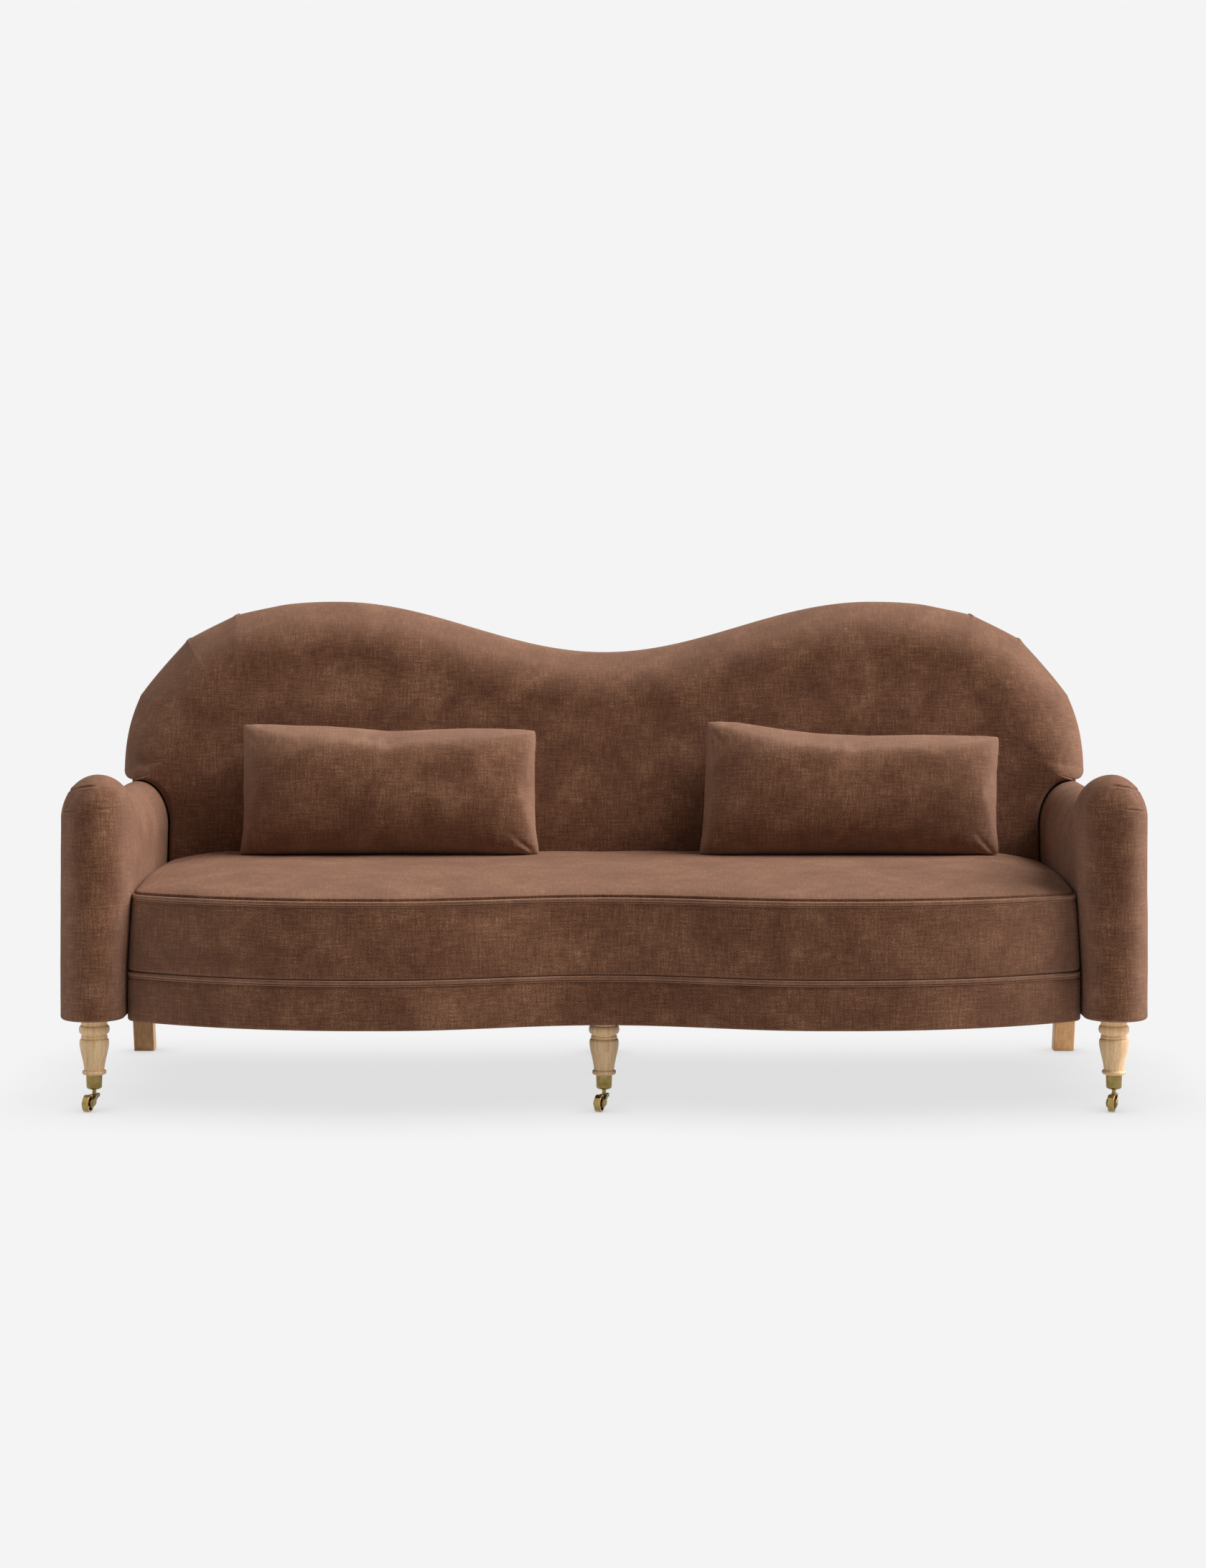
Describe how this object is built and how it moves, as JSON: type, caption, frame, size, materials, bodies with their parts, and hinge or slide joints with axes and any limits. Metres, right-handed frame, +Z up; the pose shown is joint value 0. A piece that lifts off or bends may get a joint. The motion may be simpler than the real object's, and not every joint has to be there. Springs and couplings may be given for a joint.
{
  "type": "camelback sofa",
  "caption": "Camelback sofa with rolled arms, a serpentine tight seat, loose lumbar pillows, turned front legs on brass cup castors and raked square back legs.",
  "frame": {"origin": "on the floor, under the middle of the sofa's bounding box", "axes": "+X along the sofa to its left arm as one sits, which is on the right seen from the front; +Y from the front to the back; +Z up"},
  "size_m": [2.235, 0.94, 1.03],
  "materials": {
    "chenille": "woven chenille, mottled brown",
    "beech": "pale natural, satin",
    "frame_timber": "sawn, unfinished",
    "webbing": "jute webbing",
    "dust_cloth": "black non-woven cambric",
    "brass": "antique, polished where it wears",
    "steel": "zinc plated"
  },
  "bodies": {
    "root": {"right_arm_pad": "chenille", "left_arm_pad": "chenille", "right_arm_board": "frame_timber", "left_arm_board": "frame_timber", "right_arm_panel": "frame_timber", "left_arm_panel": "frame_timber", "front_rail": "frame_timber", "back_rail": "frame_timber", "right_side_rail": "frame_timber", "left_side_rail": "frame_timber", "centre_rail": "frame_timber", "right_corner_block": "frame_timber", "left_corner_block": "frame_timber", "seat_webbing": "webbing", "lower_welt": "chenille", "upper_welt": "chenille", "front_border": "chenille", "seat_cushion": "chenille", "dust_cover": "dust_cloth", "back_board": "frame_timber", "inside_back": "chenille", "outside_back": "chenille", "left_front_leg": "beech", "centre_front_leg": "beech", "right_front_leg": "beech", "left_front_bolt": "steel", "centre_front_bolt": "steel", "right_front_bolt": "steel", "left_back_leg": "beech", "centre_back_leg": "beech", "right_back_leg": "beech", "left_back_bolt": "steel", "centre_back_bolt": "steel", "right_back_bolt": "steel", "left_castor_cup": "brass", "centre_castor_cup": "brass", "right_castor_cup": "brass"},
    "left_castor": {"left_castor_yoke": "brass", "left_castor_axle": "brass"},
    "centre_castor": {"centre_castor_yoke": "brass", "centre_castor_axle": "brass"},
    "right_castor": {"right_castor_yoke": "brass", "right_castor_axle": "brass"},
    "left_wheel": {"left_castor_wheel": "brass"},
    "centre_wheel": {"centre_castor_wheel": "brass"},
    "right_wheel": {"right_castor_wheel": "brass"},
    "left_pillow": {"left_pillow": "chenille"},
    "right_pillow": {"right_pillow": "chenille"}
  },
  "joints": [
    {"name": "left_castor_swivel", "type": "hinge", "parent": "root", "child": "left_castor", "pos_m": [-1.049, -0.3305, 0.041], "axis": [0, 0, 1], "continuous": true},
    {"name": "centre_castor_swivel", "type": "hinge", "parent": "root", "child": "centre_castor", "pos_m": [0, -0.3305, 0.041], "axis": [0, 0, 1], "continuous": true},
    {"name": "right_castor_swivel", "type": "hinge", "parent": "root", "child": "right_castor", "pos_m": [1.049, -0.3305, 0.041], "axis": [0, 0, 1], "continuous": true},
    {"name": "left_wheel_roll", "type": "hinge", "parent": "left_castor", "child": "left_wheel", "pos_m": [-1.0567, -0.36259, 0.0175], "axis": [0.9724, -0.2334, 0], "continuous": true},
    {"name": "centre_wheel_roll", "type": "hinge", "parent": "centre_castor", "child": "centre_wheel", "pos_m": [-0.00965, -0.36206, 0.0175], "axis": [0.9563, -0.2924, 0], "continuous": true},
    {"name": "right_wheel_roll", "type": "hinge", "parent": "right_castor", "child": "right_wheel", "pos_m": [1.03957, -0.36212, 0.0175], "axis": [0.9583, -0.2857, 0], "continuous": true},
    {"name": "left_pillow_lift", "type": "slide", "parent": "root", "child": "left_pillow", "axis": [0, 0, 1], "range_m": [0, 0.4]},
    {"name": "right_pillow_lift", "type": "slide", "parent": "root", "child": "right_pillow", "axis": [0, 0, 1], "range_m": [0, 0.4]}
  ]
}
